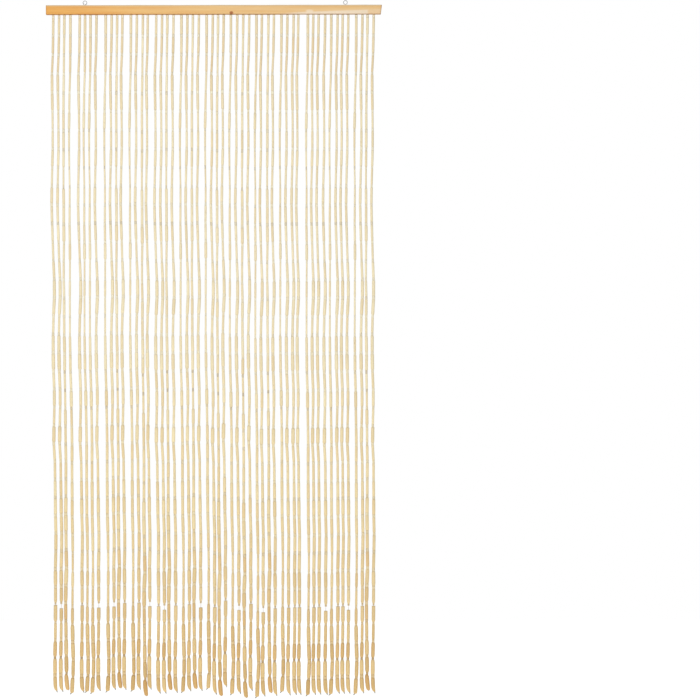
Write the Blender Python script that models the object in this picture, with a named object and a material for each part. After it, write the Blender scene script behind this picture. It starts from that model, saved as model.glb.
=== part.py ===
"""A bamboo bead door curtain on its wooden rail, hanging by two screw eyes.

Metres, +Z up, +X to the viewer's right and -Y to the front. The origin lies on the line between the centres
of the two rings, where hooks carry the curtain, above the rail's middle. The strands are four-sided here,
fused at their roots to a narrow strip that lies in a groove under the rail.
"""

import math

import bmesh
import bpy
import numpy as np

# Clearance between two pieces that meet
GAP = 0.0003

# Wooden rail
RAIL_WIDTH = 0.900
RAIL_HEIGHT = 0.025
RAIL_DEPTH = 0.014
RAIL_EDGE = 0.0012
EDGE_STEPS = 2

# Screw eyes: a ring of bent wire on a shank that goes into the rail's top
EYE_OUTER = 0.012
EYE_WIRE = 0.0018
EYE_LIFT = 0.0012
EYE_PLACES = {"left": -0.346, "right": 0.352}
SHANK_WIDTH = 0.0022
SHANK_DEPTH = 0.012
RING_STEPS = 24
WIRE_SIDES = 8

# Strip that the strands hang from, in the groove under the rail
ROOT_DEPTH = 0.003
ROOT_RISE = 0.003
ROOT_DROP = 0.0004
ROOT_MARGIN = 0.003

# Heights that follow from the sizes above
RAIL_TOP = -EYE_OUTER / 2 - EYE_LIFT
RAIL_FOOT = RAIL_TOP - RAIL_HEIGHT

# One strand is a row of tubes with a bead at each joint, a little shorter towards the floor
UNITS = 37
FIRST_UNIT = 0.0510
LAST_UNIT = 0.0470
STRAND_START = 0.0012
FIRST_BEAD = 0.0040
NECK_WIDTH = 0.0024
NECK_END = 0.0008
STRAND_SPACING = 0.0156
# A tube's four corners, anticlockwise from above
CORNERS = ((1, 0, 0), (0, 1, 0), (-1, 0, 0), (0, -1, 0))

# Groups of four strands: the group's middle from the rail's middle, how far it drifts sideways near the floor
# in millimetres, and the pattern of each strand. Then for each strand how much longer than usual it is, and
# how far it hangs from its regular place, both in millimetres. A hangs plainly. G is like A, but shows its
# bare string after tube 32. B ends in a fat tube. C leans the other way at its end.
GROUPS = (
    (-0.4080, -2.0, "AGBC", (-2, -3, 2, 0), (0.5, 0.5, -1.0, -0.5)),
    (-0.3380, -1.0, "ACCG", (-1, -4, -1, -5), (1.5, 0.0, -1.0, -0.5)),
    (-0.2675, -0.5, "CGBA", (-5, -8, -3, -8), (0.5, 1.0, 0.0, -1.5)),
    (-0.1995, -0.5, "CABG", (-7, -9, 18, -9), (0.0, 0.5, 1.0, -1.5)),
    (-0.1320, 0.5, "AGBA", (2, 2, 2, 0), (0.5, 0.5, -1.0, 0.0)),
    (-0.0640, 0.0, "CABG", (-3, -4, -1, -5), (0.0, 0.5, -0.5, 0.0)),
    (0.0035, 0.5, "CABA", (-12, 5, 18, -15), (0.0, 1.0, -0.5, -1.0)),
    (0.0700, 0.5, "CGBA", (3, 3, 23, -5), (-1.5, 0.0, 0.5, 1.0)),
    (0.1370, 0.0, "CGBA", (11, 10, 10, 9), (0.0, -1.0, 1.0, 0.0)),
    (0.2040, 0.0, "CAAA", (-3, 7, 6, 6), (0.0, 0.5, 1.5, -1.5)),
    (0.2740, -1.0, "CAAG", (6, 6, 5, 6), (0.8, -0.2, -1.5, 0.5)),
    (0.3375, -1.5, "CAAG", (4, 3, 3, 3), (0.0, 1.5, -0.5, -1.0)),
    (0.4045, -2.0, "CABA", (3, 2, 4, 2), (0.0, 1.0, -1.0, 0.0)),
)
DRIFT_START = 1.25
DRIFT_END = 1.60

# How the whole row sways: depth below the rail in metres, sideways shift in millimetres
SWAY = (
    (0.00, 0.0),
    (0.06, -0.5),
    (0.19, -3.3),
    (0.34, -3.5),
    (0.49, -4.9),
    (0.56, -4.5),
    (0.63, -3.2),
    (0.74, -1.6),
    (0.85, -3.6),
    (0.95, -2.7),
    (1.02, -0.9),
    (1.14, -1.4),
    (1.20, 0.0),
    (1.33, 0.6),
    (1.40, 2.1),
    (1.83, 1.4),
)
# The row narrows towards the floor by this share of its width for each metre
NARROWING = 0.0048

# How a strand of each pattern bows: depth below the rail in metres, sideways shift in millimetres
BOWS = {
    "A": (
        (0.00, 0.0),
        (0.12, -0.5),
        (0.17, -1.6),
        (0.25, 0.2),
        (0.34, 0.9),
        (0.42, 0.0),
        (0.50, -1.3),
        (0.60, -0.1),
        (0.74, 2.1),
        (0.81, 0.4),
        (0.90, -0.5),
        (1.03, 0.4),
        (1.15, -1.3),
        (1.20, 0.0),
        (1.42, 0.6),
        (1.48, -0.5),
        (1.56, 0.5),
        (1.64, 0.3),
        (1.73, -1.1),
        (1.79, -1.1),
        (1.83, 0.8),
    ),
    "B": (
        (0.00, 0.0),
        (0.13, 0.0),
        (0.17, 1.4),
        (0.24, 0.1),
        (0.40, 0.2),
        (0.53, 1.3),
        (0.60, 0.3),
        (0.72, -2.3),
        (0.80, -0.3),
        (0.90, 0.8),
        (1.01, -0.6),
        (1.15, 0.6),
        (1.24, -0.4),
        (1.40, -1.7),
        (1.49, 0.3),
        (1.55, -2.1),
        (1.74, -0.4),
        (1.83, 3.0),
    ),
    "C": (
        (0.00, 0.0),
        (0.11, 0.9),
        (0.15, 1.9),
        (0.24, -0.1),
        (0.30, -1.3),
        (0.36, -1.3),
        (0.48, 1.4),
        (0.56, 0.3),
        (0.66, -0.3),
        (0.74, -2.2),
        (0.84, -0.4),
        (1.02, -0.4),
        (1.15, 1.7),
        (1.21, 0.1),
        (1.41, 0.1),
        (1.46, 1.0),
        (1.64, 0.1),
        (1.70, 1.2),
        (1.75, 3.3),
        (1.79, 0.6),
        (1.83, -0.4),
    ),
}
BOWS["G"] = BOWS["A"]
# Strands also stand a little before or behind each other: reach of the wave in millimetres, and its length
DEPTH_WAVE = {"A": 1.4, "G": 1.0, "B": -1.4, "C": -1.6}
DEPTH_WAVE_LENGTH = 0.62

# Each pattern's length as a share of the full one
LENGTHS = {"A": 1.000, "G": 1.000, "B": 0.995, "C": 1.002}

# Sections of a strand below its neck: tubes counted from the rail, width there in millimetres. The lower
# tubes draw in at some of their joints, and the last one narrows to its knot.
UPPER_SECTIONS = {
    "A": ((0, 7.0), (3, 6.9), (6, 6.4), (9, 7.1), (12, 7.1), (15, 8.1), (18, 8.5), (21, 7.8), (24, 7.6), (27, 7.9)),
    "B": ((0, 6.3), (3, 6.1), (6, 6.8), (9, 6.8), (12, 6.8), (15, 7.4), (18, 7.0), (21, 6.8), (24, 7.7), (27, 8.3)),
    "C": ((0, 7.3), (3, 6.2), (6, 6.5), (9, 6.0), (12, 6.3), (15, 6.0), (18, 6.7), (21, 7.2), (24, 7.2), (27, 7.4)),
}
SLIM_END = ((33.10, 6.0), (33.25, 7.6), (34.80, 8.8), (35.00, 6.2), (35.20, 9.8), (36.40, 9.8), (36.95, 4.6))
JOINT_32 = ((30.00, 8.4), (31.90, 8.4), (32.00, 6.8), (32.20, 9.2), (32.80, 8.8))
BARE_STRING_32 = ((30.00, 8.4), (31.95, 7.8), (32.00, 2.8), (32.22, 2.8), (32.24, 9.2))
FAT_END = (
    (29.00, 8.7),
    (31.50, 9.6),
    (32.20, 8.2),
    (34.20, 9.2),
    (34.85, 9.8),
    (35.00, 7.4),
    (35.20, 10.3),
    (35.85, 10.0),
    (36.00, 7.2),
    (36.12, 11.6),
    (36.60, 12.0),
    (36.95, 7.6),
)
LEANING_END = (
    (28.00, 7.0),
    (30.00, 6.7),
    (32.90, 7.0),
    (33.00, 6.4),
    (33.20, 10.0),
    (34.80, 9.9),
    (35.10, 8.2),
    (35.40, 9.0),
    (35.90, 8.8),
    (36.00, 7.2),
    (36.25, 10.2),
    (36.70, 10.2),
    (36.95, 5.4),
)
SECTIONS = {
    "A": UPPER_SECTIONS["A"] + JOINT_32 + SLIM_END,
    "G": UPPER_SECTIONS["A"] + BARE_STRING_32 + SLIM_END,
    "B": UPPER_SECTIONS["B"] + FAT_END,
    "C": UPPER_SECTIONS["C"] + LEANING_END,
}
MILLIMETRE = 0.001


def joint_depth(unit):
    """Depth below the rail of the joint after that many tubes, for tubes that shorten evenly."""
    shortening = (FIRST_UNIT - LAST_UNIT) / (2 * UNITS)
    return STRAND_START + FIRST_BEAD + FIRST_UNIT * unit - shortening * unit**2


def eased(table, depth):
    """The table's second column at a depth, easing from row to row."""
    rows = np.array(table)
    i = np.clip(np.searchsorted(rows[:, 0], depth, side="right") - 1, 0, len(rows) - 2)
    t = np.clip((depth - rows[i, 0]) / (rows[i + 1, 0] - rows[i, 0]), 0, 1)
    return rows[i, 1] + (rows[i + 1, 1] - rows[i, 1]) * t * t * (3 - 2 * t)


def course(pattern, root_x, drift, depth):
    """Where a strand hangs at these depths: an array of points."""
    shift = eased(SWAY, depth) + eased(BOWS[pattern], depth)
    shift += eased(((DRIFT_START, 0.0), (DRIFT_END, drift)), depth)
    x = root_x * (1 - NARROWING * depth) + MILLIMETRE * shift
    y = MILLIMETRE * DEPTH_WAVE[pattern] * np.sin(2 * math.pi * depth / DEPTH_WAVE_LENGTH)
    return np.stack([x, y, RAIL_FOOT - depth], axis=1)


def layout():
    """Each strand as its pattern, the x of its root, its drift, and how much longer than usual it is."""
    strands = []
    for middle, drift, patterns, longer, shifts in GROUPS:
        for place, pattern in enumerate(patterns):
            x = middle + (place - (len(patterns) - 1) / 2) * STRAND_SPACING + MILLIMETRE * shifts[place]
            strands.append((pattern, x, drift, MILLIMETRE * longer[place]))
    return strands


def material(name, colour, roughness, metallic=0.0):
    made = bpy.data.materials.new(name)
    made.use_nodes = True
    shader = made.node_tree.nodes["Principled BSDF"]
    shader.inputs["Base Color"].default_value = (*colour, 1)
    shader.inputs["Roughness"].default_value = roughness
    shader.inputs["Metallic"].default_value = metallic
    made.diffuse_color = (*colour, 1)
    return made


def add(name, mesh, finish=None):
    piece = bpy.data.objects.new(name, mesh)
    bpy.context.collection.objects.link(piece)
    if finish:
        mesh.materials.clear()
        mesh.materials.append(finish)
    return piece


def box(name, low, high):
    """A block between two corners."""
    low, high = np.array(low), np.array(high)
    shape = bmesh.new()
    bmesh.ops.create_cube(shape, size=1)
    bmesh.ops.scale(shape, vec=high - low, verts=shape.verts)
    bmesh.ops.translate(shape, vec=(low + high) / 2, verts=shape.verts)
    mesh = bpy.data.meshes.new(name)
    shape.to_mesh(mesh)
    shape.free()
    return mesh


def upright_rod(name, x, width, bottom, top):
    """A round rod on the rail's middle line, between two heights."""
    shape = bmesh.new()
    bmesh.ops.create_cone(
        shape, cap_ends=True, segments=WIRE_SIDES, radius1=width / 2, radius2=width / 2, depth=top - bottom
    )
    bmesh.ops.translate(shape, vec=(x, 0, (top + bottom) / 2), verts=shape.verts)
    mesh = bpy.data.meshes.new(name)
    shape.to_mesh(mesh)
    shape.free()
    return mesh


def cutter(mesh):
    """A hidden tool that a Boolean uses."""
    tool = add(f"tool_{mesh.name}", mesh)
    tool.hide_render = True
    tool.display_type = "WIRE"
    return tool


def boolean(piece, operation, mesh):
    change = piece.modifiers.new(operation.lower(), "BOOLEAN")
    change.operation = operation
    change.object = cutter(mesh)


def root_span():
    """The strip's two ends, just past the outer strands."""
    roots = [x for _, x, _, _ in layout()]
    return min(roots) - ROOT_MARGIN, max(roots) + ROOT_MARGIN


def make_rail(finish):
    """The wooden rail, its long edges eased, with a groove below and a hole for each shank."""
    half = RAIL_WIDTH / 2, RAIL_DEPTH / 2
    rail = add("rail", box("rail", (-half[0], -half[1], RAIL_FOOT), (half[0], half[1], RAIL_TOP)), finish)
    edge = rail.modifiers.new("edge", "BEVEL")
    edge.width = RAIL_EDGE
    edge.segments = EDGE_STEPS
    start, end = root_span()
    side = ROOT_DEPTH / 2 + GAP
    groove = box("groove", (start - GAP, -side, RAIL_FOOT - RAIL_EDGE), (end + GAP, side, RAIL_FOOT + ROOT_RISE))
    boolean(rail, "DIFFERENCE", groove)
    for side_name, x in EYE_PLACES.items():
        bottom = RAIL_TOP - SHANK_DEPTH - GAP
        hole = upright_rod(f"hole_{side_name}", x, SHANK_WIDTH + 2 * GAP, bottom, RAIL_TOP + RAIL_EDGE)
        boolean(rail, "DIFFERENCE", hole)


def ring(name, x):
    """The round of wire, its hole facing the front: a circle turned about the ring's own axis."""
    shape = bmesh.new()
    middle = (x + (EYE_OUTER - EYE_WIRE) / 2, 0, 0)
    made = bmesh.ops.create_circle(shape, segments=WIRE_SIDES, radius=EYE_WIRE / 2)
    bmesh.ops.translate(shape, vec=middle, verts=made["verts"])
    bmesh.ops.spin(
        shape,
        geom=shape.verts[:] + shape.edges[:],
        cent=(x, 0, 0),
        axis=(0, 1, 0),
        angle=2 * math.pi,
        steps=RING_STEPS,
        use_merge=True,
    )
    bmesh.ops.recalc_face_normals(shape, faces=shape.faces)
    mesh = bpy.data.meshes.new(name)
    shape.to_mesh(mesh)
    shape.free()
    mesh.shade_smooth()
    return mesh


def make_screw_eye(side_name, x, finish):
    """A ring with its shank, which ends just above the bottom of its hole."""
    name = f"screw_eye_{side_name}"
    eye = add(name, ring(name, x), finish)
    middle_of_wire = -(EYE_OUTER - EYE_WIRE) / 2
    shank = upright_rod(f"shank_{side_name}", x, SHANK_WIDTH, RAIL_TOP - SHANK_DEPTH, middle_of_wire)
    boolean(eye, "UNION", shank)


def strand_sections(pattern, root_x, drift, longer):
    """A strand's points and the half width of its tube at each."""
    units, width = np.array(SECTIONS[pattern]).T
    depth = joint_depth(units) * (LENGTHS[pattern] + longer / joint_depth(UNITS))
    depth[0] = STRAND_START
    depth = np.concatenate([[-ROOT_RISE / 2, NECK_END], depth])
    width = np.concatenate([[NECK_WIDTH, NECK_WIDTH], MILLIMETRE * width])
    return course(pattern, root_x, drift, depth), width / 2


def four_sided_tube(shape, points, half_widths):
    """A tube with one corner to the front and a level ring of four corners at each section."""
    rings = [
        [shape.verts.new(point + half * np.array(corner)) for corner in CORNERS]
        for point, half in zip(points, half_widths)
    ]
    shape.faces.new(rings[0])
    shape.faces.new(reversed(rings[-1]))
    for upper, lower in zip(rings, rings[1:]):
        for i in range(len(CORNERS)):
            j = (i + 1) % len(CORNERS)
            shape.faces.new((upper[i], lower[i], lower[j], upper[j]))


def make_strands(finish):
    """All the strands, joined to the strip in the rail's groove."""
    shape = bmesh.new()
    for strand in layout():
        four_sided_tube(shape, *strand_sections(*strand))
    mesh = bpy.data.meshes.new("strands")
    shape.to_mesh(mesh)
    shape.free()
    strands = add("strands", mesh, finish)
    start, end = root_span()
    side = ROOT_DEPTH / 2
    top = RAIL_FOOT + ROOT_RISE - GAP
    boolean(strands, "UNION", box("root", (start, -side, RAIL_FOOT - ROOT_DROP), (end, side, top)))


def main():
    for old in list(bpy.context.scene.objects):
        bpy.data.objects.remove(old)
    pine = material("rail_wood", (0.86, 0.60, 0.33), 0.5)
    zinc = material("eye_wire", (0.72, 0.72, 0.72), 0.35, 1.0)
    bamboo = material("bamboo", (0.86, 0.74, 0.50), 0.5)
    make_rail(pine)
    for side_name, x in EYE_PLACES.items():
        make_screw_eye(side_name, x, zinc)
    make_strands(bamboo)


main()
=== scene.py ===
"""A bamboo bead door curtain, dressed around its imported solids: tubes, beads and strings in groups of four,
the wooden rail they hang from, and its two screw eyes.

Metres, +Z up, the front towards -Y. The origin lies on the line between the centres of the two rings, above
the rail's middle.
"""

import math

import bpy
import numpy as np
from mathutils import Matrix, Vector


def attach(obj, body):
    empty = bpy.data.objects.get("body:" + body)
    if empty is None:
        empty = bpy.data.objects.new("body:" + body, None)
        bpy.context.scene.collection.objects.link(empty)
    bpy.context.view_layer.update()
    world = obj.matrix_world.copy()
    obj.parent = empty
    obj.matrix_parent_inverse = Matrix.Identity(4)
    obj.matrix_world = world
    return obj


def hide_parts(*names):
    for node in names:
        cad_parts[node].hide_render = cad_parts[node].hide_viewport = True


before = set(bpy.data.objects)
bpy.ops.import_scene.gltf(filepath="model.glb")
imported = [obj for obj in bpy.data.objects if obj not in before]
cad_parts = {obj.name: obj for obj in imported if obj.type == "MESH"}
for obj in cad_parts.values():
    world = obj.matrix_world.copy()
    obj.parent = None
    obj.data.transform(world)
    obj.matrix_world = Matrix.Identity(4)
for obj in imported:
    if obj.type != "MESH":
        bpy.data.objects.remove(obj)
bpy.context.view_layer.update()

MILLIMETRE = 0.001

# Rail and screw eyes
RAIL_WIDTH = 0.900
RAIL_HEIGHT = 0.025
RAIL_DEPTH = 0.014
RAIL_EDGE = 0.0014
# The rail's right end is sawn off a little askew: sideways for each metre down
END_SLANT = 0.13
# The rail between its rounded ends: how far it reaches to both sides, and how many stations it has
RAIL_REACH = 0.44
RAIL_STATIONS = 89
# How it rises and falls along x: height of each wave, radians for each metre, and radians at the middle
RAIL_WAVES = ((0.00012, 31, 1.0), (0.00008, 83, 0.0))
# Points of a rounded edge, and stations of a rounded end
EDGE_STEPS = 5
END_STEPS = 4
EYE_OUTER = 0.012
EYE_WIRE = 0.0018
EYE_LIFT = 0.0012
EYE_PLACES = {"left": -0.346, "right": 0.352}
RAIL_TOP = -EYE_OUTER / 2 - EYE_LIFT
RAIL_FOOT = RAIL_TOP - RAIL_HEIGHT
# A screw eye's wire: how deep it starts in the rail, how far below the ring's wire its shank ends, and from
# where to where it then goes round, in degrees counted from the viewer's right
EYE_DEPTH = 0.004
EYE_NECK = 0.0006
EYE_TURN = (-82, 250)
EYE_STEPS = 40
EYE_SIDES = 12

# One strand is a row of beads and tubes by turns. A bead and the tube below it are a unit, and the joints are
# the middles of the beads. The units get a little shorter towards the floor
UNITS = 37
FIRST_UNIT = 0.0510
LAST_UNIT = 0.0470
# Depth of the first joint below the rail
FIRST_JOINT = 0.0052
# Where the last tube of each pattern ends, in units below the first joint
LAST_ENDS = {"A": 36.88, "G": 36.88, "B": 36.95, "C": 36.90}
STRAND_SPACING = 0.0156

# Groups of four strands: the group's middle from the rail's middle, how far it drifts sideways near the floor
# in millimetres, and the pattern of each strand. Then for each strand how much longer than usual it is, and
# how far it hangs from its regular place, both in millimetres. A and G end in a tube that leans to the right,
# and G shows more of its bare string below joint 32. B ends in a fat tube. C leans to the left at its end.
GROUPS = (
    (-0.4080, -2.0, "AGBC", (-2, -3, 2, 0), (0.5, 0.5, -1.0, -0.5)),
    (-0.3380, -1.0, "ACCG", (-1, -4, -1, -5), (1.5, 0.0, -1.0, -0.5)),
    (-0.2675, -0.5, "CGBA", (-5, -8, -3, -8), (0.5, 1.0, 0.0, -1.5)),
    (-0.1995, -0.5, "CABG", (-7, -9, 18, -9), (0.0, 0.5, 1.0, -1.5)),
    (-0.1320, 0.5, "AGBA", (2, 2, 2, 0), (0.5, 0.5, -1.0, 0.0)),
    (-0.0640, 0.0, "CABG", (-3, -4, -1, -5), (0.0, 0.5, -0.5, 0.0)),
    (0.0035, 0.5, "CABA", (-12, 5, 18, -15), (0.0, 1.0, -0.5, -1.0)),
    (0.0700, 0.5, "CGBA", (3, 3, 23, -5), (-1.5, 0.0, 0.5, 1.0)),
    (0.1370, 0.0, "CGBA", (11, 10, 10, 9), (0.0, -1.0, 1.0, 0.0)),
    (0.2040, 0.0, "CAAA", (-3, 7, 6, 6), (0.0, 0.5, 1.5, -1.5)),
    (0.2740, -1.0, "CAAG", (6, 6, 5, 6), (0.8, -0.2, -1.5, 0.5)),
    (0.3375, -1.5, "CAAG", (4, 3, 3, 3), (0.0, 1.5, -0.5, -1.0)),
    (0.4045, -2.0, "CABA", (3, 2, 4, 2), (0.0, 1.0, -1.0, 0.0)),
)
# The drift happens between these depths below the rail
DRIFT_START = 1.25
DRIFT_END = 1.60

# How the whole row sways: depth below the rail in metres, sideways shift in millimetres
SWAY = (
    (0.00, 0.0),
    (0.06, -0.5),
    (0.19, -3.3),
    (0.34, -3.5),
    (0.49, -4.9),
    (0.56, -4.5),
    (0.63, -3.2),
    (0.74, -1.6),
    (0.85, -3.6),
    (0.95, -2.7),
    (1.02, -0.9),
    (1.14, -1.4),
    (1.20, 0.0),
    (1.33, 0.6),
    (1.40, 2.1),
    (1.83, 1.4),
)
# The row narrows towards the floor by this share of its width for each metre
NARROWING = 0.0048

# How a strand of each pattern bows: depth below the rail in metres, sideways shift in millimetres
BOWS = {
    "A": (
        (0.00, 0.0),
        (0.12, -0.5),
        (0.17, -1.6),
        (0.25, 0.2),
        (0.34, 0.9),
        (0.42, 0.0),
        (0.50, -1.3),
        (0.60, -0.1),
        (0.74, 2.1),
        (0.81, 0.4),
        (0.90, -0.5),
        (1.03, 0.4),
        (1.15, -1.3),
        (1.20, 0.0),
        (1.42, 0.6),
        (1.48, -0.5),
        (1.56, 0.5),
        (1.64, 0.3),
        (1.73, -1.1),
        (1.79, -1.1),
        (1.83, 0.8),
    ),
    "B": (
        (0.00, 0.0),
        (0.13, 0.0),
        (0.17, 1.4),
        (0.24, 0.1),
        (0.40, 0.2),
        (0.53, 1.3),
        (0.60, 0.3),
        (0.72, -2.3),
        (0.80, -0.3),
        (0.90, 0.8),
        (1.01, -0.6),
        (1.15, 0.6),
        (1.24, -0.4),
        (1.40, -1.7),
        (1.49, 0.3),
        (1.55, -2.1),
        (1.74, -0.4),
        (1.83, 3.0),
    ),
    "C": (
        (0.00, 0.0),
        (0.11, 0.9),
        (0.15, 1.9),
        (0.24, -0.1),
        (0.30, -1.3),
        (0.36, -1.3),
        (0.48, 1.4),
        (0.56, 0.3),
        (0.66, -0.3),
        (0.74, -2.2),
        (0.84, -0.4),
        (1.02, -0.4),
        (1.15, 1.7),
        (1.21, 0.1),
        (1.41, 0.1),
        (1.46, 1.0),
        (1.64, 0.1),
        (1.70, 1.2),
        (1.75, 3.3),
        (1.79, 0.6),
        (1.83, -0.4),
    ),
}
BOWS["G"] = BOWS["A"]
# Strands also stand a little before or behind each other: reach of the wave in millimetres, and its length
DEPTH_WAVE = {"A": 1.4, "G": 1.0, "B": -1.4, "C": -1.6}
DEPTH_WAVE_LENGTH = 0.62

# Each pattern's length as a share of the full one
LENGTHS = {"A": 1.000, "G": 1.000, "B": 0.995, "C": 1.002}

# Width of each tube in millimetres, from the rail down, for strands of pattern A, B and C
TUBE_WIDTHS = (
    (6.8, 7.0, 7.5),
    (6.8, 6.1, 7.2),
    (6.1, 5.5, 6.1),
    (7.5, 6.3, 5.3),
    (7.1, 6.4, 5.8),
    (5.5, 6.6, 7.0),
    (6.2, 6.8, 5.4),
    (6.9, 6.4, 5.0),
    (5.8, 5.0, 4.4),
    (7.1, 7.3, 5.0),
    (6.9, 7.1, 5.8),
    (6.9, 8.1, 6.0),
    (5.9, 5.9, 7.2),
    (6.8, 5.9, 4.8),
    (8.3, 6.5, 5.8),
    (8.4, 7.3, 5.0),
    (6.6, 6.8, 4.9),
    (8.3, 7.6, 6.6),
    (9.1, 7.7, 7.4),
    (7.5, 6.1, 6.6),
    (7.8, 5.7, 8.2),
    (6.5, 7.9, 6.5),
    (9.2, 6.9, 7.0),
    (7.4, 7.3, 7.5),
    (6.8, 7.6, 7.1),
    (7.7, 7.3, 8.1),
    (8.7, 9.0, 7.8),
    (7.9, 9.6, 8.0),
    (8.3, 8.5, 7.3),
    (8.5, 9.0, 6.0),
    (9.5, 10.1, 7.5),
    (8.6, 10.0, 6.3),
    (9.7, 8.5, 8.0),
    (8.1, 8.9, 10.5),
    (10.0, 10.8, 10.4),
    (10.9, 10.5, 9.8),
    (10.8, 11.6, 11.2),
)
WIDTHS = dict(zip("ABC", np.array(TUBE_WIDTHS).T))
WIDTHS["G"] = WIDTHS["A"]
# The joints of pattern B lie a little low half way down: joint, and how far below its place, in units
LOW_JOINTS = ((0, 0.0), (4, 0.05), (9, 0.08), (15, 0.08), (20, 0.14), (23, 0.10), (26, 0.0))

# Tubes: sides, width of the bore and of the rims as shares, the gap before a bead, and how far the wear goes
SIDES = 10
TUBE_BORE = 0.6
TUBE_RIM = 0.97
TUBE_PLAY = 0.0002
END_WEAR = 0.0007
# Beads: length, bore, the most that the bore takes of a bead's width, width of the rims and how far in from
# them a bead is rounded, as shares, and the share of its length that a bead keeps at a waist
BEAD_LENGTH = 0.0085
BEAD_BORE = 0.0024
BEAD_BORE_SHARE = 0.6
BEAD_RIM = 0.93
BEAD_ROUNDING = 0.2
WAIST_BEAD = 0.6
# Strings: width, sides, and how far they rise above the first joint
STRING_WIDTH = 0.0013
STRING_SIDES = 5
STRING_RISE = 0.006

# What chance adds to each tube and bead: the seed, and how far sizes spread, as shares
SEED = 27
WIDTH_SPREAD = 0.04
BEAD_LENGTH_SPREAD = 0.08
BEAD_WIDTH_SPREAD = 0.04
# Tones go from 0 to 1, the palest. They spread around one half, and a bead is paler than its tube
TONE_SPREAD = 0.2
BEAD_PALER = 0.2

# Joints whose bead shows darker than the tubes, for each pattern: how dark the bead at that joint is. At
# joint 0, just under the rail, the darkening is painted shade of the rail
DARK_BEADS = {
    "A": {
        0: 0.15, 1: 0.2, 2: 0.2, 3: 0.15, 8: 0.12, 11: 0.38, 13: 0.15, 14: 0.1, 17: 0.1, 21: 0.12,
        26: 0.2, 29: 0.2, 32: 0.35, 35: 0.6,
    },
    "B": {
        0: 0.15, 2: 0.2, 4: 0.3, 6: 0.2, 7: 0.3, 9: 0.3, 11: 0.1, 13: 0.15, 15: 0.15, 19: 0.55, 20: 0.6,
        22: 0.15, 23: 0.2, 25: 0.15, 26: 0.2, 28: 0.2, 29: 0.25, 33: 0.28, 36: 0.4,
    },
    "C": {
        0: 0.15, 1: 0.2, 2: 0.2, 3: 0.15, 6: 0.25, 7: 0.2, 8: 0.45, 9: 0.2, 10: 0.2, 16: 0.2, 19: 0.2,
        21: 0.35, 24: 0.2, 29: 0.2, 36: 0.15,
    },
}
DARK_BEADS["G"] = DARK_BEADS["A"]
# The range of shares of that which a bead takes, and the most that any other bead has
DARK_RANGE = (0.7, 1.0)
PLAIN_BEAD = 0.03
# Tubes that are browner than those beside them, for each pattern: how brown
BROWNER_TUBES = {
    "A": {0: 0.12, 1: 0.2, 2: 0.2, 3: 0.1, 4: 0.1, 34: 0.25},
    "B": {29: 0.3, 31: 0.12, 32: 0.32},
    "C": {0: 0.1, 1: 0.16, 2: 0.16, 32: 0.1},
}
BROWNER_TUBES["G"] = BROWNER_TUBES["A"]
# The range of shares of that which a tube takes, the most that any other tube has, and the range of B's last
# tube
BROWNER_RANGE = (0.7, 1.3)
PLAIN_TUBE = 0.12
FAT_TUBE = (0.25, 0.55)
# Tubes that are paler than those beside them, for each pattern: their tone, from 0 to 1
PALE_TUBES = {"A": {35: 0.95}, "B": {34: 0.85}, "C": {}}
PALE_TUBES["G"] = PALE_TUBES["A"]

# Tubes from this one on are carved thinner towards both ends, to this share of their width
FIRST_CARVED = 30
CARVED_RIM = 0.94
# Joints where they draw in further, for each pattern: share of the width that is left at that joint
WAISTS = {
    "A": {32: 0.62, 33: 0.84, 35: 0.70},
    "B": {35: 0.84, 36: 0.64},
    "C": {33: 0.88, 36: 0.80},
}
WAISTS["G"] = WAISTS["A"]
# How a carved tube fills out from its rims: share of its length, share of the way from rim to full width
CARVED = (
    (0.00, 0.00),
    (0.04, 0.45),
    (0.11, 0.82),
    (0.24, 1.00),
    (0.76, 1.00),
    (0.89, 0.82),
    (0.96, 0.45),
    (1.00, 0.00),
)
# A strand's last tube: share of its length, share of its width, how far it leans to the right in millimetres
LAST_TUBES = {
    "A": (
        (0.00, 0.88, 0.0),
        (0.06, 0.96, 0.0),
        (0.20, 1.00, 0.0),
        (0.50, 1.00, 0.0),
        (0.70, 0.97, 0.3),
        (0.85, 0.86, 1.1),
        (0.95, 0.69, 2.2),
        (1.00, 0.50, 3.1),
    ),
    "B": (
        (0.00, 0.58, -1.2),
        (0.06, 0.78, -1.2),
        (0.16, 0.93, -1.1),
        (0.42, 1.02, -0.9),
        (0.74, 0.99, -0.2),
        (0.90, 0.90, 0.5),
        (0.97, 0.80, 1.0),
        (1.00, 0.66, 1.2),
    ),
    "C": (
        (0.00, 0.84, -0.6),
        (0.06, 0.94, -0.8),
        (0.20, 1.00, -1.0),
        (0.60, 1.00, -1.0),
        (0.86, 0.98, -1.1),
        (0.95, 0.90, -1.2),
        (0.985, 0.76, -1.3),
        (1.00, 0.58, -1.3),
    ),
}
LAST_TUBES["G"] = LAST_TUBES["A"]
# How the string's knot and tail run below the last tube: sideways, down, and width of the string, all in
# millimetres
TAILS = {
    "A": ((1.8, -3.0, 2.0), (3.4, -0.6, 4.4), (4.2, 2.2, 4.0), (5.2, 5.2, 2.2)),
    "B": ((0.6, -2.0, 1.6), (1.6, -0.4, 3.6), (2.2, 0.8, 3.4), (3.0, 1.8, 2.0)),
    "C": ((-0.8, -2.0, 1.6), (-2.2, 0.0, 4.0), (-4.4, 2.2, 3.6), (-6.8, 4.2, 2.0)),
}
TAILS["G"] = TAILS["A"]
# Two patterns show their bare string below a joint: which joint, and for each where its next tube starts, in
# units below the first joint
BARE_FROM = 32
BARE_TO = {"A": 32.035, "G": 32.24}

# Floor, light and camera
FLOOR = -2.02
FLOOR_REACH = 3.0
FLOOR_TONE = 0.85
FLOOR_GLOW = 0.7
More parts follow.
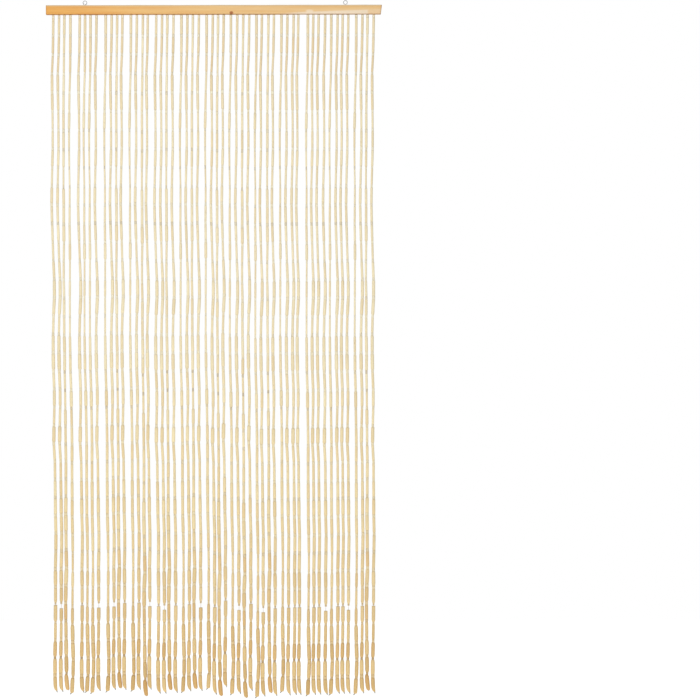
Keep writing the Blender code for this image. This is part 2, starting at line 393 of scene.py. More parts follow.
# The surround's light on the curtain, as a share of what the camera sees
AMBIENT = 0.42
LAMP_PLACE = (-0.6, -3.2, 0.9)
LAMP_AIM = (0, 0, -0.8)
LAMP_SIZE = (2.2, 1.6)
LAMP_POWER = 50
CAMERA_DISTANCE = 6.0
CAMERA_X = 0.3629
CAMERA_Z = -0.9316
CAMERA_RANGE = (0.1, 50)
# In degrees
CAMERA_ROLL = 0.09
# The picture: metres for each pixel at the curtain, and pixels across
PIXEL = 0.00268
IMAGE = 700
SENSOR = 36.0


def joint_depth(units):
    """Depth below the rail of the joint after that many units: the first joint's depth and as many first
    units, less the square of the number times what half a unit loses from one to the next."""
    shortening = (FIRST_UNIT - LAST_UNIT) / (2 * UNITS)
    return FIRST_JOINT + FIRST_UNIT * units - shortening * units**2


def eased(table, depth):
    """The table's second column at a depth. Between two rows it goes by three times the square of the way
    less twice its cube, so that it leaves and reaches each row level."""
    rows = np.array(table)
    i = np.clip(np.searchsorted(rows[:, 0], depth, side="right") - 1, 0, len(rows) - 2)
    t = np.clip((depth - rows[i, 0]) / (rows[i + 1, 0] - rows[i, 0]), 0, 1)
    return rows[i, 1] + (rows[i + 1, 1] - rows[i, 1]) * t * t * (3 - 2 * t)


def course(pattern, root_x, drift, depth):
    """Where a strand hangs at these depths: an array of points. Sideways it is the root's place, drawn in a
    little for each metre down, plus the row's sway, the pattern's bow and the group's drift. To the front and
    back it is a sine wave."""
    shift = eased(SWAY, depth) + eased(BOWS[pattern], depth)
    shift += eased(((DRIFT_START, 0.0), (DRIFT_END, drift)), depth)
    x = root_x * (1 - NARROWING * depth) + MILLIMETRE * shift
    y = MILLIMETRE * DEPTH_WAVE[pattern] * np.sin(2 * math.pi * depth / DEPTH_WAVE_LENGTH)
    return np.stack([x, y, RAIL_FOOT - depth], axis=1)


def layout():
    """The groups: for each strand its pattern, the x of its root, its drift, and how much longer it is. The
    roots stand evenly about the group's middle, but for each strand's own shift."""
    groups = []
    for middle, drift, patterns, longer, shifts in GROUPS:
        left = middle - (len(patterns) - 1) / 2 * STRAND_SPACING
        strands = []
        for place, pattern in enumerate(patterns):
            x = left + place * STRAND_SPACING + MILLIMETRE * shifts[place]
            strands.append((pattern, x, drift, MILLIMETRE * longer[place]))
        groups.append(strands)
    return groups


# Meshes from arrays


def ring_quads(count, stations, sides, closed=False):
    """Four-sided faces between neighbouring rings of points, for many rounds at once. Where closed, the last
    ring joins the first. Also gives each face's station."""
    spans = stations if closed else stations - 1
    n, s, i = np.meshgrid(np.arange(count), np.arange(spans), np.arange(sides), indexing="ij")
    beside = (i + 1) % sides
    ring = (n * stations + s) * sides
    after = (n * stations + (s + 1) % stations) * sides
    quads = np.stack([ring + i, ring + beside, after + beside, after + i], axis=-1)
    return quads.reshape(-1, 4), s.reshape(-1)


def end_caps(count, stations, sides):
    """The face that closes each round's first ring, and the one that closes its last."""
    first = np.arange(count)[:, None] * stations * sides + np.arange(sides)
    return np.concatenate([first[:, ::-1], first + (stations - 1) * sides])


def mesh_object(name, points, quads, caps=None, values=None, flat=None):
    """An object from arrays: points, four-sided faces, end faces, values at the points, and which of the
    four-sided faces are flat."""
    groups = [quads] if caps is None else [quads, caps]
    corners = np.concatenate([faces.ravel() for faces in groups])
    sizes = np.concatenate([np.full(len(faces), faces.shape[1]) for faces in groups])
    smooth = np.zeros(len(sizes), bool)
    smooth[: len(quads)] = True if flat is None else ~flat
    mesh = bpy.data.meshes.new(name)
    mesh.vertices.add(len(points))
    mesh.vertices.foreach_set("co", np.asarray(points, np.float32).ravel())
    mesh.loops.add(len(corners))
    mesh.loops.foreach_set("vertex_index", corners.astype(np.int32))
    mesh.polygons.add(len(sizes))
    mesh.polygons.foreach_set("loop_start", (np.cumsum(sizes) - sizes).astype(np.int32))
    mesh.polygons.foreach_set("use_smooth", smooth)
    for key, value in (values or {}).items():
        mesh.attributes.new(key, "FLOAT", "POINT").data.foreach_set("value", np.asarray(value, np.float32))
    mesh.update(calc_edges=True)
    made = bpy.data.objects.new(name, mesh)
    bpy.context.scene.collection.objects.link(made)
    return made


def circles(across, forward, sides, turn=0.0):
    """Unit vectors round a circle: each angle's cosine times across plus its sine times forward."""
    angle = 2 * math.pi * np.arange(sides) / sides + np.asarray(turn)[..., None]
    return np.cos(angle)[..., None] * across[..., None, :] + np.sin(angle)[..., None] * forward[..., None, :]


def unit(vectors):
    """The vectors, each divided by its length."""
    return vectors / np.linalg.norm(vectors, axis=-1, keepdims=True)


class Rounds:
    """Many closed rounds with a bore, each turned about the line from its start to its end.

    A point is its round's start, moved along the axis by its station's distance and along x by its station's
    lean, and then outwards: by the station's radius times the angle's cosine across, and times its sine
    forward, both square to the axis. The first and last stations are the bore's ends, and the last joins the
    first through the bore. Each value is a number for each round, and "end" is 1 on the flat ends."""

    def __init__(self, starts, ends, along, radius, turn, values, lean=0.0):
        axis = unit(ends - starts)
        across = unit(np.array([1.0, 0, 0]) - axis[:, :1] * axis)
        circle = circles(across, np.cross(axis, across), SIDES, turn)
        middle = starts[:, None] + along[..., None] * axis[:, None]
        middle[..., 0] += lean
        count, stations = along.shape
        self.points = (middle[:, :, None] + radius[..., None, None] * circle[:, None]).reshape(-1, 3)
        self.quads, station = ring_quads(count, stations, SIDES, closed=True)
        self.flat = np.isin(station, [0, stations - 2])
        self.values = {key: np.repeat(value, stations * SIDES) for key, value in values.items()}
        at_end = np.isin(np.arange(stations), [0, 1, stations - 2, stations - 1])
        self.values["end"] = np.tile(np.repeat(at_end, SIDES), count)

    def joined(self, other):
        """Adds the other rounds to these."""
        self.quads = np.concatenate([self.quads, other.quads + len(self.points)])
        self.points = np.concatenate([self.points, other.points])
        self.flat = np.concatenate([self.flat, other.flat])
        self.values = {key: np.concatenate([value, other.values[key]]) for key, value in self.values.items()}
        return self

    def as_object(self, name):
        """These rounds as one object."""
        return mesh_object(name, self.points, self.quads, values=self.values, flat=self.flat)


def cords(paths, radii, sides):
    """Many closed cords: at each point of a path a circle of the cord's radius, square to the line between
    the points before and after, and a face at both ends."""
    axis = unit(np.gradient(paths, axis=1))
    forward = unit(np.array([0.0, 1.0, 0.0]) - axis[..., 1:2] * axis)
    circle = circles(np.cross(forward, axis), forward, sides)
    points = paths[:, :, None] + radii[..., None, None] * circle
    quads, _ = ring_quads(*radii.shape, sides)
    return points.reshape(-1, 3), quads, end_caps(*radii.shape, sides)


# Shader nodes


def feed(tree, socket, value):
    """Links a Field to a socket, or sets the socket to a plain value."""
    if isinstance(value, Field):
        tree.links.new(value.socket, socket)
    else:
        socket.default_value = value


def added_node(tree, kind, inputs, output=0, **settings):
    """Adds any node: its settings first, then its inputs by name or number. Gives one of its outputs."""
    made = tree.nodes.new(kind)
    for key, value in settings.items():
        setattr(made, key, value)
    for key, value in inputs.items():
        feed(tree, made.inputs[key], value)
    return Field(tree, made.outputs[output])


class Field:
    """A value that varies over a surface. Arithmetic on it adds Math nodes to its tree."""

    def __init__(self, tree, socket):
        self.tree = tree
        self.socket = socket

    def node(self, kind, inputs, output=0, **settings):
        """A node added to this value's own tree."""
        return added_node(self.tree, kind, inputs, output, **settings)

    def math(self, operation, *values, clamp=False):
        """A Math node on this and the other values."""
        inputs = dict(enumerate((self, *values)))
        return self.node("ShaderNodeMath", inputs, operation=operation, use_clamp=clamp)

    def __add__(self, other):
        return self.math("ADD", other)

    def __radd__(self, other):
        return self.math("ADD", other)

    def __sub__(self, other):
        return self.math("SUBTRACT", other)

    def __rsub__(self, other):
        return (self * -1) + other

    def __mul__(self, other):
        return self.math("MULTIPLY", other)

    def __rmul__(self, other):
        return self.math("MULTIPLY", other)

    def __truediv__(self, other):
        return self.math("DIVIDE", other)

    def clamped(self):
        """This, kept from 0 to 1."""
        return self.math("ADD", 0.0, clamp=True)

    def ramp(self, low, high):
        """0 below low, 1 above high, smooth between; low may be the greater."""
        inputs = {"Value": self, "From Min": low, "From Max": high}
        return self.node("ShaderNodeMapRange", inputs, interpolation_type="SMOOTHSTEP")

    def noise(self, x, y, z, detail=2, roughness=0.5):
        """Soft noise from 0 to 1 at these coordinates, multiplied by x, y and z."""
        scaled = self.node("ShaderNodeVectorMath", {0: self, 1: (x, y, z)}, operation="MULTIPLY")
        inputs = {"Vector": scaled, "Scale": 1.0, "Detail": detail, "Roughness": roughness}
        return self.node("ShaderNodeTexNoise", inputs)

    def mix(self, low, high):
        """From colour low where this is 0 to colour high where it is 1."""
        inputs = {"Factor": self, 6: colour(low), 7: colour(high)}
        return self.node("ShaderNodeMix", inputs, output=2, data_type="RGBA")

    def tint(self, shade):
        """This colour, multiplied by another."""
        inputs = {0: 1.0, 6: self, 7: colour(shade)}
        return self.node("ShaderNodeMix", inputs, output=2, data_type="RGBA", blend_type="MULTIPLY")


def colour(value):
    """A colour socket's value: a Field as it is, or three numbers with alpha 1."""
    return value if isinstance(value, Field) else (*value, 1.0)


class Finish:
    """A material: its Principled shader and the coordinates it is worked out from."""

    def __init__(self, name):
        self.material = bpy.data.materials.new(name)
        self.material.use_nodes = True
        self.tree = self.material.node_tree
        self.shader = self.tree.nodes["Principled BSDF"]
        self.place = added_node(self.tree, "ShaderNodeTexCoord", {}, output="Object")

    def value(self, name):
        """An attribute of the mesh."""
        return self.place.node("ShaderNodeAttribute", {}, output="Fac", attribute_name=name)

    def xyz(self):
        """The three coordinates."""
        split = self.place.node("ShaderNodeSeparateXYZ", {"Vector": self.place})
        return [Field(self.tree, output) for output in split.socket.node.outputs]

    def set(self, **inputs):
        """Sets the shader's inputs, named with underscores for spaces."""
        for key, value in inputs.items():
            feed(self.tree, self.shader.inputs[key.replace("_", " ")], value)

    def bump(self, height, distance):
        """Lifts the surface by the height's value times the distance."""
        inputs = {"Strength": 1.0, "Distance": distance, "Height": height}
        self.set(Normal=self.place.node("ShaderNodeBump", inputs))

    def dress(self, piece):
        """Gives the piece this material alone."""
        piece.data.materials.clear()
        piece.data.materials.append(self.material)
        return piece


# Finishes

WHITE = (1, 1, 1)

# Heights between which the strands' colour goes from its upper one to its middle one, and on to its lower
# one. The paler top and the darker, browner bottom are partly the tubes' and beads' own colour and partly
# painted light and shade, for light that falls off towards the floor
TO_MIDDLE = (-0.75, -1.45)
TO_LOWER = (-1.32, -1.90)

# Upper, middle and lower colour of the tubes, each for dark and for pale ones
BAMBOO = (
    ((0.89, 0.76, 0.485), (0.94, 0.84, 0.58)),
    ((0.84, 0.665, 0.36), (0.91, 0.775, 0.46)),
    ((0.62, 0.405, 0.15), (0.79, 0.575, 0.265)),
)
# Where a tube is fully brown
FULL_BROWN = (0.66, 0.34, 0.09)
# What multiplies the colour of nicks, and of cut ends, which are partly browner of their own and partly
# painted shade of the gap at each bead
NICK_AND_GAP_SHADE_BROWN = (0.50, 0.37, 0.24)

# Colours of the beads: the upper one for dark and for pale beads, the others, and those of the dark joints
UPPER_BEADS = ((0.87, 0.745, 0.50), (0.95, 0.85, 0.61))
MIDDLE_BEADS = (0.87, 0.73, 0.45)
LOWER_BEADS = (0.74, 0.525, 0.245)
DARK_JOINTS = ((0.46, 0.37, 0.26), (0.44, 0.31, 0.19), (0.34, 0.20, 0.10))
# What multiplies the colour of the beads in their painted glints, bright spots painted into their colour
PAINTED_GLINT_TINT = (1.08, 1.14, 1.20)

# The strings' thread, its ends, and the heights between which it changes
THREAD = (0.88, 0.78, 0.68)
THREAD_END = (0.42, 0.40, 0.35)
THREAD_END_HEIGHTS = (-1.80, -1.85)

# The pine at the rail's left, further on, and at its right: its light wood, and its deep wood
LIGHT_WOOD = ((0.88, 0.46, 0.095), (0.88, 0.57, 0.215), (0.88, 0.60, 0.285))
DEEP_WOOD = ((0.80, 0.36, 0.065), (0.82, 0.49, 0.185))
# The stretches of x over which they change
LIGHT_CHANGES = ((-0.46, -0.10), (-0.15, 0.20))
DEEP_CHANGE = (-0.46, 0.10)
# Its paler wood, and its top edge
PALER_WOOD = (0.92, 0.75, 0.54)
TOP_EDGE = (0.72, 0.54, 0.31)
# What multiplies the colour of the rail's knot, the painted shade along its lower edge, and its sawn ends
KNOT_BROWN = (0.50, 0.26, 0.16)
FOOT_SHADE = (0.62, 0.52, 0.47)
SAWN_BROWN = (0.70, 0.60, 0.54)
# How far the painted shade along the lower edge, the darker band of the top edge, and the darker left and
# right ends reach into the front
FOOT_SHADE_REACH = 0.0027
TOP_MARK = 0.0050
LEFT_MARK = 0.0045
RIGHT_MARK = 0.0035
# The rail's knot and its paler patch: x, z, half length, half height
KNOT = (0.0467, -0.0284, 0.0066, 0.0056)
PATCH = (0.2560, -0.0235, 0.0130, 0.0045)
# The rail's paler wood: where it starts and over what length it fades in, its upper edge there, how fast that
# edge climbs to the right, how far it wanders up and down, and how softly it ends above and below the edge
PALE_START = 0.165
PALE_FADE = 0.07
PALE_EDGE = -0.0285
PALE_CLIMB = 0.036
PALE_WANDER = 0.006
PALE_SOFT = (-0.0020, 0.0035)
# And where most of it stops, over this length
PALE_STOP = 0.409
PALE_STOP_FADE = 0.006

# The wire's darker and lighter spots
ZINC = ((0.32, 0.32, 0.33), (0.54, 0.54, 0.54))


def by_height(z, upper, middle, lower):
    """The strands' colour at height z: one ramp mixes upper and middle, and a second one mixes in lower.
    Paler above and darker below, this is partly their own colour and partly painted light and shade.
    """
    return z.ramp(*TO_LOWER).mix(z.ramp(*TO_MIDDLE).mix(upper, middle), lower)


def bamboo_finish():
    """Thin bamboo tubes: cream above and golden below, partly by their own colour and partly by painted light
    and shade, a few of them browner, with fine lengthwise grain, cut ends darkened partly by their own
    browner colour and partly by painted shade of the gap at each bead, and here and there a brown nick."""
    finish = Finish("bamboo_tubes")
    tone, end, ripe = [finish.value(name) for name in ("tone", "end", "ripe")]
    _, _, z = finish.xyz()
    streaks = finish.place.noise(900, 900, 9, detail=3)
    fine = finish.place.noise(2600, 2600, 22, detail=1)
    patches = finish.place.noise(60, 60, 22)
    nicks = finish.place.noise(420, 420, 130, detail=1).ramp(0.70, 0.76)
    base = ripe.mix(by_height(z, *[tone.mix(*pair) for pair in BAMBOO]), FULL_BROWN)
    grain = streaks * 0.16 + fine * 0.10 + patches * 0.18 + 0.79
    # Nicks, and cut ends darkened partly by their own colour and partly by painted shade of the gap at each
    # bead
    worn_and_gap_shade = (nicks * 0.45 + end * 0.14).clamped().mix(WHITE, NICK_AND_GAP_SHADE_BROWN)
    finish.set(Base_Color=base.tint(grain).tint(worn_and_gap_shade))
    finish.set(Roughness=streaks * 0.2 + 0.34, Specular_IOR_Level=0.35)
    finish.bump(streaks + fine * 0.5, 0.0001)
    return finish


def bead_finish():
    """Small glossy barrels, pearly and streaked above, with painted glints, darker and redder towards the
    floor, partly by their own colour and partly by painted shade.
    """
    finish = Finish("beads")
    tone, dark = [finish.value(name) for name in ("tone", "dark")]
    _, _, z = finish.xyz()
    clouds = finish.place.noise(500, 500, 160, detail=3)
    # Painted glints: bright spots painted into the beads' colour
    painted_glints = finish.place.noise(700, 700, 60, detail=1).ramp(0.52, 0.68)
    plain = by_height(z, tone.mix(*UPPER_BEADS), MIDDLE_BEADS, LOWER_BEADS)
    base = dark.mix(plain, by_height(z, *DARK_JOINTS))
    finish.set(Base_Color=base.tint(clouds * 0.3 + 0.84).tint(painted_glints.mix(WHITE, PAINTED_GLINT_TINT)))
    finish.set(Roughness=clouds * 0.2 + 0.16, Coat_Weight=0.25)
    finish.bump(clouds + painted_glints * 0.4, 0.00015)
    return finish


def string_finish():
    """Pale twisted thread, greyer at its cut ends."""
    finish = Finish("strings")
    _, _, z = finish.xyz()
    twist = finish.place.noise(1800, 1800, 700)
    base = z.ramp(*THREAD_END_HEIGHTS).mix(THREAD, THREAD_END)
    finish.set(Base_Color=base.tint(twist * 0.35 + 0.78), Roughness=0.75, Specular_IOR_Level=0.2)
    finish.bump(twist, 0.0002)
    return finish


def oval(x, z, middle_x, middle_z, half_length, half_height):
    """1 in the middle of an oval on the rail's front, falling to 0 at its edge, by the sum of the squares of
    the distances along and up, each as a share of the oval's half size."""
    along, up = (x - middle_x) / half_length, (z - middle_z) / half_height
    return (along * along + up * up).ramp(1.0, 0.1)


def pine(place, x, rings):
    """The colour of the rail's pine: its light and its deep wood, which both change along it, mixed by the
    year rings, blotches and streaks."""
    blotches = place.noise(5, 40, 60)
    streaks = place.noise(9, 90, 260, roughness=0.6).ramp(0.40, 0.66)
    first, second = [x.ramp(*stretch) for stretch in LIGHT_CHANGES]
    left, further, right = LIGHT_WOOD
    light = second.mix(first.mix(left, further), right)
    deep = x.ramp(*DEEP_CHANGE).mix(*DEEP_WOOD)
    return (rings * 0.30 + blotches * 0.35 + streaks * 0.45).clamped().mix(light, deep)


def paler_wood(x, z, warp):
    """1 where the rail's paler wood shows: below an edge that climbs to the right and wanders with the grain,
    from its start to where most of it stops, and in the paler patch."""
    edge = (x - PALE_START) * PALE_CLIMB + PALE_EDGE + (warp - 0.5) * PALE_WANDER
    below = (edge - z).ramp(*PALE_SOFT) * x.ramp(PALE_START, PALE_START + PALE_FADE)
    below = below * (x.ramp(PALE_STOP + PALE_STOP_FADE, PALE_STOP) * 0.6 + 0.4)
    return (below + oval(x, z, *PATCH) * 0.8).clamped()


def rail_marks_and_shade(x, z):
    """What multiplies the rail's colour: its knot, painted shade along its lower edge, and its sawn ends, the
    right one askew.
    """
    # Painted shade: darker within this reach of the rail's lower edge
    foot = z.ramp(RAIL_FOOT + FOOT_SHADE_REACH, RAIL_FOOT)
    right = (x + (RAIL_TOP - z) * END_SLANT).ramp(RAIL_WIDTH / 2 - RIGHT_MARK, RAIL_WIDTH / 2)
    left = x.ramp(-RAIL_WIDTH / 2 + LEFT_MARK, -RAIL_WIDTH / 2)
    knot_and_foot_shade = oval(x, z, *KNOT).mix(WHITE, KNOT_BROWN).tint(foot.mix(WHITE, FOOT_SHADE))
    return knot_and_foot_shade.tint((right + left * 0.6).mix(WHITE, SAWN_BROWN))


def rail_finish():
    """Planed pine with long grain: orange at the left, yellower to the right, where paler wood rises from
    below. It has one small knot on the lower edge and a paler patch beside the paler wood."""
    finish = Finish("rail_wood")
    x, y, z = finish.xyz()
    warp = finish.place.noise(2.2, 30, 30)
    fibres = finish.place.noise(14, 700, 700, detail=3)
    # The year rings: a sine across height and depth, bent by the warp
    rings = ((z * 190 + y * 120 + warp * 7.5) * 2.2).math("SINE") * 0.5 + 0.5
    base = paler_wood(x, z, warp).mix(pine(finish.place, x, rings), PALER_WOOD)
    base = z.ramp(RAIL_TOP - TOP_MARK, RAIL_TOP).mix(base, TOP_EDGE)
    finish.set(Base_Color=base.tint(rail_marks_and_shade(x, z)).tint(fibres * 0.2 + 0.9))
    finish.set(Roughness=fibres * 0.2 + 0.38, Specular_IOR_Level=0.4)
    finish.bump(fibres + rings * 0.4, 0.0002)
    return finish


def wire_finish():
    """Zinc-plated wire, a little dulled and scratched."""
    finish = Finish("eye_wire")
    spots = finish.place.noise(900, 900, 900, detail=3)
    finish.set(Base_Color=spots.mix(*ZINC), Roughness=spots * 0.3 + 0.22, Metallic=1.0)
    finish.bump(spots, 0.00005)
    return finish


# The strands


def between(start, end, near, far):
    """Points on the way from start to end, these distances from the two."""
    way = unit(end - start)
    return start + way * near[:, None], end - way * far[:, None]


def spread(share, chance):
    """A factor for each unit of a strand: 1, more or less up to this share."""
    return 1 + share * chance.uniform(-1, 1, UNITS)


def bead_darkness(pattern, chance):
    """How dark each bead of a strand is, from 0 to 1: hardly at all, but for its pattern's dark joints."""
    dark = PLAIN_BEAD * chance.uniform(0, 1, UNITS)
    for joint, depth in DARK_BEADS[pattern].items():
        dark[joint] = depth * chance.uniform(*DARK_RANGE)
    return dark


def tube_colours(pattern, chance):
    """How pale each tube of a strand is, and how brown, both from 0 to 1: by chance, but for those tubes that
    its pattern names. The cube of a chance from 0 to 1 leaves most tubes hardly brown."""
    tone = np.clip(0.5 + TONE_SPREAD * chance.standard_normal(UNITS), 0, 1)
    for tube, pale in PALE_TUBES[pattern].items():
        tone[tube] = pale
    ripe = PLAIN_TUBE * chance.uniform(0, 1, UNITS) ** 3
    for tube, brown in BROWNER_TUBES[pattern].items():
        ripe[tube] = brown * chance.uniform(*BROWNER_RANGE)
    if pattern == "B":
        ripe[-1] = chance.uniform(*FAT_TUBE)
    return tone, ripe


def make_strand(pattern, root_x, drift, longer, chance):
    """One strand's tubes and beads as starts, ends and values, and its string's path and radii.

    Its joints are points of its course. A tube lies on the straight line from one joint to the next, less
    half a bead and a little play at both ends. A bead lies around its joint, in the course's direction."""
    share = LENGTHS[pattern] + longer / joint_depth(UNITS)

    def at(units):
        """The points of the strand's course at these numbers of units."""
        return course(pattern, root_x, drift, joint_depth(units) * share)

    units = np.arange(UNITS)
    places = units + (np.interp(units, *np.array(LOW_JOINTS).T) if pattern == "B" else 0.0)
    joints = at(places)
    upper = joints.copy()
    lower = at(np.append(places[1:], LAST_ENDS[pattern]))
    width = MILLIMETRE * WIDTHS[pattern] * spread(WIDTH_SPREAD, chance)
    bead = BEAD_LENGTH * spread(BEAD_LENGTH_SPREAD, chance)
    dark = bead_darkness(pattern, chance)
    kept = np.where(units < FIRST_CARVED, 1.0, CARVED_RIM)
    for joint, waist in WAISTS[pattern].items():
        kept[joint] = waist
        bead[joint] *= WAIST_BEAD
    narrow = np.minimum(np.append(width[0], width[:-1]), width) * kept
    bead_width = narrow * spread(BEAD_WIDTH_SPREAD, chance)
    near = bead / 2 + TUBE_PLAY
    far = np.append(bead[1:] / 2 + TUBE_PLAY, 0.0)
    middle = joints.copy()
    top = narrow.copy()
    if pattern in BARE_TO:
        # The bead moves up from its joint, and the next tube starts on the bare string
        middle[BARE_FROM] += unit(joints[BARE_FROM - 1] - joints[BARE_FROM]) * bead[BARE_FROM] / 2
        far[BARE_FROM - 1] += bead[BARE_FROM] / 2
        upper[BARE_FROM] = at(np.array([BARE_TO[pattern]]))[0]
        top[BARE_FROM] = width[BARE_FROM] * CARVED_RIM
        near[BARE_FROM] = 0.0
    start, end = between(upper, lower, near, far)
    # The course's direction at each joint, taken from a tenth of a unit above and below it
    half_bead = unit(at(places + 0.1) - at(places - 0.1)) * bead[:, None] / 2
    tone, ripe = tube_colours(pattern, chance)
    bead_tone = np.clip(tone + BEAD_PALER, 0, 1)
    sideways, down, thickness = MILLIMETRE * np.array(TAILS[pattern]).T
    tail = end[-1] + np.stack([sideways, np.zeros(len(down)), -down], axis=1)
    head = joints[0] + np.array([[0, 0, STRING_RISE]])
    radii = np.concatenate([np.full(UNITS + 1, STRING_WIDTH / 2), thickness / 2])
    return {
        "tubes": (start, end, width / 2, top / 2, np.append(narrow[1:], 0) / 2, tone, ripe),
        "beads": (middle - half_bead, middle + half_bead, bead_width / 2, bead_tone, dark),
        "string": (np.concatenate([head, joints, tail]), radii),
    }


def bored(rows, along, radius, chance, lean=0.0):
    """Tubes from their stations' distances and radii. Their bores, a share of the narrower rim, run from the
    first station to the last, whose distances are repeated for them."""
    start, end, _, _, _, tone, ripe = rows
    bore = TUBE_BORE * np.minimum(radius[:, :1], radius[:, -1:])
    along = np.concatenate([along[:, :1], along, along[:, -1:]], axis=1)
    radius = np.concatenate([bore, radius, bore], axis=1)
    turn = chance.uniform(0, 2 * math.pi, len(start))
    return Rounds(start, end, along, radius, turn, {"tone": tone, "ripe": ripe}, lean)


def plain_tubes(rows, chance):
    """Tubes of one width with flat cut ends, a little narrower at their worn rims."""
    start, end, half = rows[:3]
    length = np.linalg.norm(end - start, axis=1)
    none, wear = np.zeros_like(length), np.full_like(length, END_WEAR)
    along = np.stack([none, wear, length - wear, length], axis=1)
    return bored(rows, along, half[:, None] * np.array([TUBE_RIM, 1.0, 1.0, TUBE_RIM]), chance)


def carved_tubes(rows, chance):
    """Tubes carved thinner towards both ends: a station's radius lies between that of the nearer rim and the
    tube's own, by the fill of the carved outline."""
    start, end, half, top, foot = rows[:5]
    length = np.linalg.norm(end - start, axis=1)
    share, fill = np.array(CARVED).T
    rim = np.where(share < 0.5, top[:, None], foot[:, None])
    return bored(rows, length[:, None] * share, rim + (half[:, None] - rim) * fill, chance)


def last_tube(pattern, rows, chance):
    """A strand's last tube: its length and width times the shares of its pattern's outline, with its lean."""
    start, end, half = rows[:3]
    length = np.linalg.norm(end - start, axis=1)
    share, width, lean = np.array(LAST_TUBES[pattern]).T
    lean = MILLIMETRE * np.concatenate([lean[:1], lean, lean[-1:]])
    return bored(rows, length[:, None] * share, half[:, None] * width, chance, lean)


def make_tubes(name, strands, patterns, chance):
    """The tubes of a group as one piece: the plain ones, then the carved ones and the last of each strand."""

    def some(first, last):
        """The same tubes of every strand, joined column by column."""
        return [np.concatenate([column[first:last] for column in columns]) for columns in zip(*strands)]

    tubes = plain_tubes(some(0, FIRST_CARVED), chance)
    tubes.joined(carved_tubes(some(FIRST_CARVED, UNITS - 1), chance))
    for pattern, strand in zip(patterns, strands):
        tubes.joined(last_tube(pattern, [column[-1:] for column in strand], chance))
    return tubes.as_object(name)


def make_beads(name, strands, chance):
    """The beads of a group as one piece: short barrels of one width, rounded off towards their rims."""
    start, end, half, tone, dark = [np.concatenate(columns) for columns in zip(*strands)]
    length = np.linalg.norm(end - start, axis=1)[:, None]
    bore = np.minimum(BEAD_BORE / 2, half * BEAD_BORE_SHARE)[:, None]
    along = length * np.array([0.0, 0.0, BEAD_ROUNDING, 1 - BEAD_ROUNDING, 1.0, 1.0])
    radius = np.concatenate([bore, half[:, None] * np.array([BEAD_RIM, 1.0, 1.0, BEAD_RIM]), bore], axis=1)
    turn = chance.uniform(0, 2 * math.pi, len(length))
    return Rounds(start, end, along, radius, turn, {"tone": tone, "dark": dark}).as_object(name)


def make_strings(name, strands):
    """The strings of a group as one piece, each a cord through all its joints with its knot and tail."""
    paths, radii = [np.stack(columns) for columns in zip(*strands)]
    return mesh_object(name, *cords(paths, radii, STRING_SIDES))


def make_groups():
    """Every group's tubes, beads and strings, each as one piece."""
    finishes = bamboo_finish(), bead_finish(), string_finish()
    chance = np.random.default_rng(SEED)
    for number, strands in enumerate(layout(), start=1):
        made = [make_strand(*strand, chance) for strand in strands]
        patterns = [strand[0] for strand in strands]
        pieces = (
            make_tubes(f"tubes_{number:02d}", [strand["tubes"] for strand in made], patterns, chance),
            make_beads(f"beads_{number:02d}", [strand["beads"] for strand in made], chance),
            make_strings(f"strings_{number:02d}", [strand["string"] for strand in made]),
        )
        for piece, finish, slot in zip(pieces, finishes, ("bamboo", "bead", "string")):
            finish.dress(piece)
            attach(piece, "root")
            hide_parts("strands")


# The rail and its screw eyes


def rail_section():
    """The rail's cross-section: for each point of its four rounded corners the y and z of the middle of
    that corner's quarter circle, and the way outwards, which turns a right angle at each corner."""
    angle = np.linspace(0, math.pi / 2, EDGE_STEPS) + np.arange(4)[:, None] * math.pi / 2
    outward = np.stack([np.cos(angle), np.sin(angle)], axis=-1)
    corners = np.array([(1, 1), (-1, 1), (-1, -1), (1, -1)])
    middles = corners * (np.array([RAIL_DEPTH, RAIL_HEIGHT]) / 2 - RAIL_EDGE)
    return np.repeat(middles, EDGE_STEPS, axis=0), outward.reshape(-1, 2)


def make_rail():
    """The rail: its cross-section carried along x, raised at each station by the sum of its waves. At both
    ends the radius of its edges shrinks with a cosine while x goes on with a sine, which rounds them off, and
    the right end is then moved in by its slant times the depth below the top."""
    section, outward = rail_section()
    angle = np.linspace(0, math.pi / 2, END_STEPS)
    end_x = RAIL_WIDTH / 2 - RAIL_EDGE * (1 - np.sin(angle))
    end_edge = RAIL_EDGE * np.cos(angle)
    x = np.concatenate([-end_x[::-1], np.linspace(-RAIL_REACH, RAIL_REACH, RAIL_STATIONS), end_x])
    edge = np.concatenate([end_edge[::-1], np.full(RAIL_STATIONS, RAIL_EDGE), end_edge])
    y, z = np.moveaxis(section + edge[:, None, None] * outward, -1, 0)
    wave = sum(height * np.sin(x * pace + start) for height, pace, start in RAIL_WAVES)
    z = z + (RAIL_TOP + RAIL_FOOT) / 2 + wave[:, None]
    points = np.stack([np.broadcast_to(x[:, None], z.shape), y, z], axis=-1)
    sawn = points[-END_STEPS:]
    sawn[..., 0] -= END_SLANT * (RAIL_TOP - sawn[..., 2])
    quads, _ = ring_quads(1, len(x), len(section))
    rail = mesh_object("rail_board", points.reshape(-1, 3), quads, end_caps(1, len(x), len(section)))
    rail_finish().dress(rail)
    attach(rail, "root")
    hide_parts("rail")


def make_screw_eye(side, x, finish):
    """A screw eye of one bent wire: a straight shank up out of the rail, then a circle's arc as its ring."""
    middle = (EYE_OUTER - EYE_WIRE) / 2
    around = np.radians(np.linspace(*EYE_TURN, EYE_STEPS))
    shank = np.array([(0, 0, RAIL_TOP - EYE_DEPTH), (0, 0, RAIL_TOP), (0, 0, -middle - EYE_NECK)])
    ring = np.stack([middle * np.cos(around), np.zeros(EYE_STEPS), middle * np.sin(around)], axis=1)
    path = np.concatenate([shank, ring]) + np.array([x, 0, 0])
    radii = np.full((1, len(path)), EYE_WIRE / 2)
    eye = finish.dress(mesh_object(f"eye_wire_{side}", *cords(path[None], radii, EYE_SIDES)))
    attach(eye, "root")
    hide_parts(f"screw_eye_{side}")


# Floor, light and camera


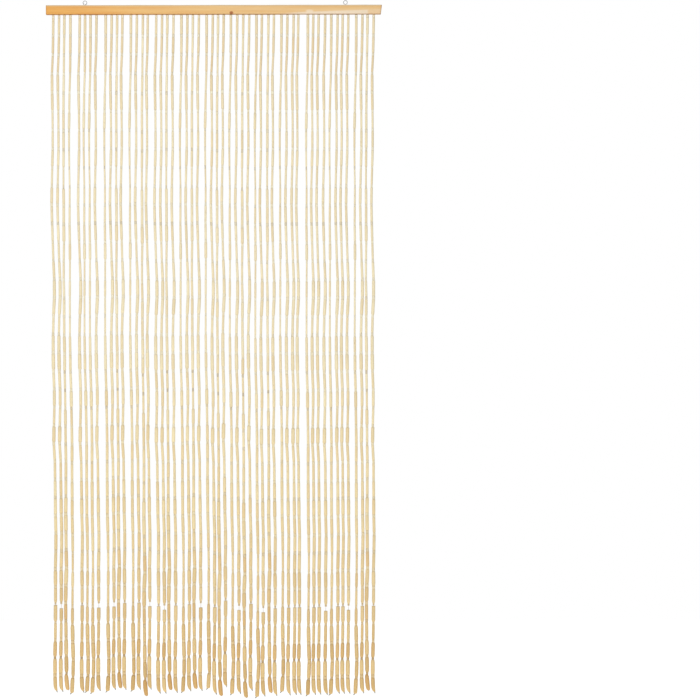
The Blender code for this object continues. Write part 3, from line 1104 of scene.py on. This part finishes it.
def make_stage():
    """A white floor, and a surround that is white to the camera and lights the curtain less."""
    corners = np.array([(-1, -1), (1, -1), (1, 1), (-1, 1)]) * FLOOR_REACH
    points = np.column_stack([corners, np.full(len(corners), FLOOR)])
    floor = mesh_object("floor", points, np.array([[0, 1, 2, 3]]))
    paper = Finish("white_floor")
    paper.set(Base_Color=(FLOOR_TONE, FLOOR_TONE, FLOOR_TONE, 1), Roughness=0.8)
    paper.set(Emission_Color=(*WHITE, 1), Emission_Strength=FLOOR_GLOW)
    paper.dress(floor)
    world = bpy.data.worlds.new("surround")
    world.use_nodes = True
    bpy.context.scene.world = world
    tree = world.node_tree
    back = tree.nodes["Background"]
    feed(tree, back.inputs["Color"], (*WHITE, 1))
    seen = added_node(tree, "ShaderNodeLightPath", {}, output="Is Camera Ray")
    feed(tree, back.inputs["Strength"], seen * (1.0 - AMBIENT) + AMBIENT)


def make_light():
    """A wide soft lamp in front, above and to the left, aimed at the curtain's middle."""
    lamp = bpy.data.lights.new("front", "AREA")
    lamp.shape = "RECTANGLE"
    lamp.size, lamp.size_y = LAMP_SIZE
    lamp.energy = LAMP_POWER
    made = bpy.data.objects.new("front", lamp)
    bpy.context.scene.collection.objects.link(made)
    made.location = LAMP_PLACE
    made.rotation_mode = "QUATERNION"
    made.rotation_quaternion = (Vector(LAMP_AIM) - Vector(LAMP_PLACE)).to_track_quat("-Z", "Y")


def make_camera():
    """A long lens straight in front, level, its picture centred to the right of the curtain."""
    data = bpy.data.cameras.new("camera")
    data.sensor_width = SENSOR
    data.lens = SENSOR * CAMERA_DISTANCE / (PIXEL * IMAGE)
    data.clip_start, data.clip_end = CAMERA_RANGE
    camera = bpy.data.objects.new("camera", data)
    bpy.context.scene.collection.objects.link(camera)
    camera.location = (CAMERA_X, -CAMERA_DISTANCE, CAMERA_Z)
    camera.rotation_euler = (math.pi / 2, math.radians(CAMERA_ROLL), 0)
    bpy.context.scene.camera = camera


make_groups()
make_rail()
wire = wire_finish()
for side, x in EYE_PLACES.items():
    make_screw_eye(side, x, wire)
make_stage()
make_light()
make_camera()
bpy.context.scene.view_settings.view_transform = "Standard"
